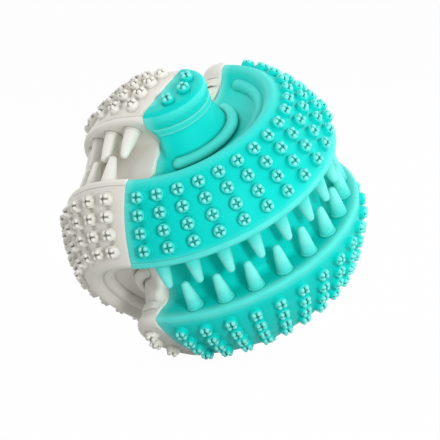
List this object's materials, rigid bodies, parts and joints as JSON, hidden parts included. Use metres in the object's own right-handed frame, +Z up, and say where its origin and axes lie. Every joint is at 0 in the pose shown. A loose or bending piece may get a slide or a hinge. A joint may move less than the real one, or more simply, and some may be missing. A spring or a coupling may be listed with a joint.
{
  "type": "dental chew ball",
  "caption": "Hollow rubber chew ball of bonded teal and off-white halves, with knobbed bands, toothed grooves and ribbed grooves that curve round end posts, for cleaning a dog's teeth.",
  "frame": {"origin": "centre of the ball, on the seam between the halves", "axes": "+X square to the seam, out of the teal half; -Y through the middle of a knobbed band that crosses the seam; +Z up as the ball lies, through the grooves that swing from one half into the other"},
  "size_m": [0.0762, 0.0796, 0.076],
  "materials": {
    "teal_rubber": "satin moulded rubber",
    "white_rubber": "satin moulded rubber"
  },
  "bodies": {
    "root": {"teal_half": "teal_rubber", "white_half": "white_rubber"}
  },
  "joints": []
}
